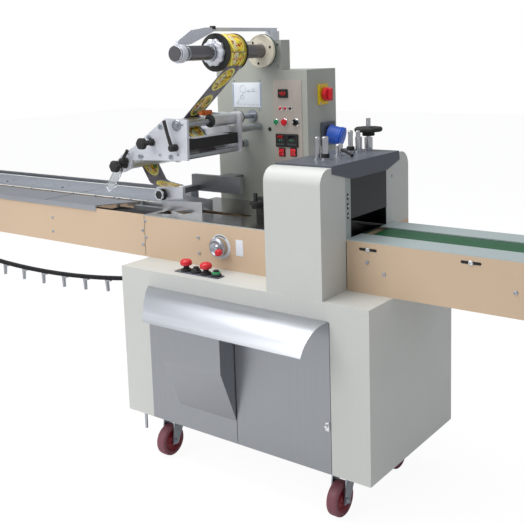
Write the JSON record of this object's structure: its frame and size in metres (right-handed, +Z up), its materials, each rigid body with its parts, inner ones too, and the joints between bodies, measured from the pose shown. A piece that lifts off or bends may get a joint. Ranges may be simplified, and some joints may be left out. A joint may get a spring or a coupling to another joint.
{
  "type": "horizontal flow wrapper",
  "caption": "Horizontal flow wrapping machine: long pusher infeed, film reel and feed unit, former, end-sealing housing, belt discharge, cabinet on casters.",
  "frame": {"origin": "centre of the bounding box in plan, at floor level", "axes": "+X along the line from infeed to discharge, +Y from the operator's side to the rear, +Z up"},
  "size_m": [3.77, 0.839, 1.447],
  "materials": {
    "cream_paint": "satin powder coat",
    "tan_paint": "satin powder coat",
    "grey_paint": "satin powder coat",
    "dark_cover": "satin",
    "stainless": "brushed",
    "bright_steel": "polished",
    "pale_flange": "satin",
    "plate_aluminium": "satin",
    "belt_green": "matte",
    "chain_black": "oiled",
    "black_plastic": "matte",
    "red_plastic": "gloss",
    "yellow_plastic": "gloss",
    "blue_plastic": "satin",
    "panel_plate": "satin",
    "wheel_red": "satin",
    "zinc": "zinc plated",
    "film": "gloss printed film",
    "clear_plastic": "clear"
  },
  "bodies": {
    "machine": {"bay_door": "stainless", "bay_front": "stainless", "body_deck": "stainless", "body_housing": "tan_paint", "cabinet_shell": "cream_paint", "caster_mounts": "zinc", "clear_guard": "clear_plastic", "control_tower": "grey_paint", "cover_posts": "bright_steel", "deck_buttons": "red_plastic", "discharge_belt": "belt_green", "discharge_flanges": "pale_flange", "discharge_rollers": "zinc", "discharge_side_panels": "tan_paint", "feed_cross_bars": "bright_steel", "feed_far_plate": "plate_aluminium", "feed_knobs": "black_plastic", "feed_motor_block": "black_plastic", "feed_near_plate": "plate_aluminium", "film_idlers": "bright_steel", "film_web": "film", "fin_seal_unit": "black_plastic", "former_box": "stainless", "former_bracket": "plate_aluminium", "former_shoulder": "stainless", "housing_cover": "dark_cover", "housing_front_tower": "cream_paint", "housing_rear_tower": "cream_paint", "infeed_bed": "chain_black", "infeed_chain": "chain_black", "infeed_guides": "stainless", "infeed_side_panels": "tan_paint", "infeed_sprockets": "zinc", "infeed_stand": "zinc", "infeed_table": "stainless", "main_switch_base": "yellow_plastic", "power_socket": "blue_plastic", "reel_bracket": "grey_paint", "reel_overarm": "plate_aluminium", "seal_jaws": "zinc", "throat_guards": "dark_cover", "tower_panel": "panel_plate", "visor": "bright_steel"},
    "reel": {"reel_shaft": "zinc", "reel_collars": "black_plastic", "reel_flanges": "plate_aluminium", "film_roll": "film"},
    "feed_roller": {"feed_roller": "bright_steel"},
    "phase_handwheel": {"phase_handwheel": "bright_steel"},
    "height_handwheel": {"height_handwheel": "black_plastic"},
    "main_switch": {"main_switch_knob": "red_plastic"},
    "swivel_front_right": {"caster_fork_front_right": "zinc"},
    "wheel_front_right": {"caster_wheel_front_right": "wheel_red"},
    "swivel_front_left": {"caster_fork_front_left": "zinc"},
    "wheel_front_left": {"caster_wheel_front_left": "wheel_red"},
    "swivel_rear_right": {"caster_fork_rear_right": "zinc"},
    "wheel_rear_right": {"caster_wheel_rear_right": "wheel_red"},
    "swivel_rear_left": {"caster_fork_rear_left": "zinc"},
    "wheel_rear_left": {"caster_wheel_rear_left": "wheel_red"}
  },
  "joints": [
    {"name": "reel_spin", "type": "hinge", "parent": "machine", "child": "reel", "pos_m": [0.705, 0.1025, 1.366], "axis": [0, 1, 0], "continuous": true},
    {"name": "feed_roller_spin", "type": "hinge", "parent": "machine", "child": "feed_roller", "pos_m": [0.628, 0.0725, 1.134], "axis": [0, 1, 0], "continuous": true},
    {"name": "phase_handwheel_turn", "type": "hinge", "parent": "machine", "child": "phase_handwheel", "pos_m": [0.781, -0.1775, 0.74], "axis": [0, 1, 0], "continuous": true},
    {"name": "height_handwheel_turn", "type": "hinge", "parent": "machine", "child": "height_handwheel", "pos_m": [1.164, 0.1375, 1.107], "axis": [0, 0, 1], "continuous": true},
    {"name": "main_switch_turn", "type": "hinge", "parent": "machine", "child": "main_switch", "pos_m": [0.885, 0.3285, 1.207], "axis": [1, 0, 0], "range_deg": [0, 90]},
    {"name": "swivel_front_right_turn", "type": "hinge", "parent": "machine", "child": "swivel_front_right", "pos_m": [1.266, -0.2055, 0.142], "axis": [0, 0, 1], "continuous": true},
    {"name": "wheel_front_right_roll", "type": "hinge", "parent": "swivel_front_right", "child": "wheel_front_right", "pos_m": [1.266, -0.2375, 0.0525], "axis": [1, 0, 0], "continuous": true},
    {"name": "swivel_front_left_turn", "type": "hinge", "parent": "machine", "child": "swivel_front_left", "pos_m": [0.585, -0.2055, 0.142], "axis": [0, 0, 1], "continuous": true},
    {"name": "wheel_front_left_roll", "type": "hinge", "parent": "swivel_front_left", "child": "wheel_front_left", "pos_m": [0.585, -0.2375, 0.0525], "axis": [1, 0, 0], "continuous": true},
    {"name": "swivel_rear_right_turn", "type": "hinge", "parent": "machine", "child": "swivel_rear_right", "pos_m": [1.266, 0.1405, 0.142], "axis": [0, 0, 1], "continuous": true},
    {"name": "wheel_rear_right_roll", "type": "hinge", "parent": "swivel_rear_right", "child": "wheel_rear_right", "pos_m": [1.266, 0.1085, 0.0525], "axis": [1, 0, 0], "continuous": true},
    {"name": "swivel_rear_left_turn", "type": "hinge", "parent": "machine", "child": "swivel_rear_left", "pos_m": [0.585, 0.1405, 0.142], "axis": [0, 0, 1], "continuous": true},
    {"name": "wheel_rear_left_roll", "type": "hinge", "parent": "swivel_rear_left", "child": "wheel_rear_left", "pos_m": [0.585, 0.1085, 0.0525], "axis": [1, 0, 0], "continuous": true}
  ]
}
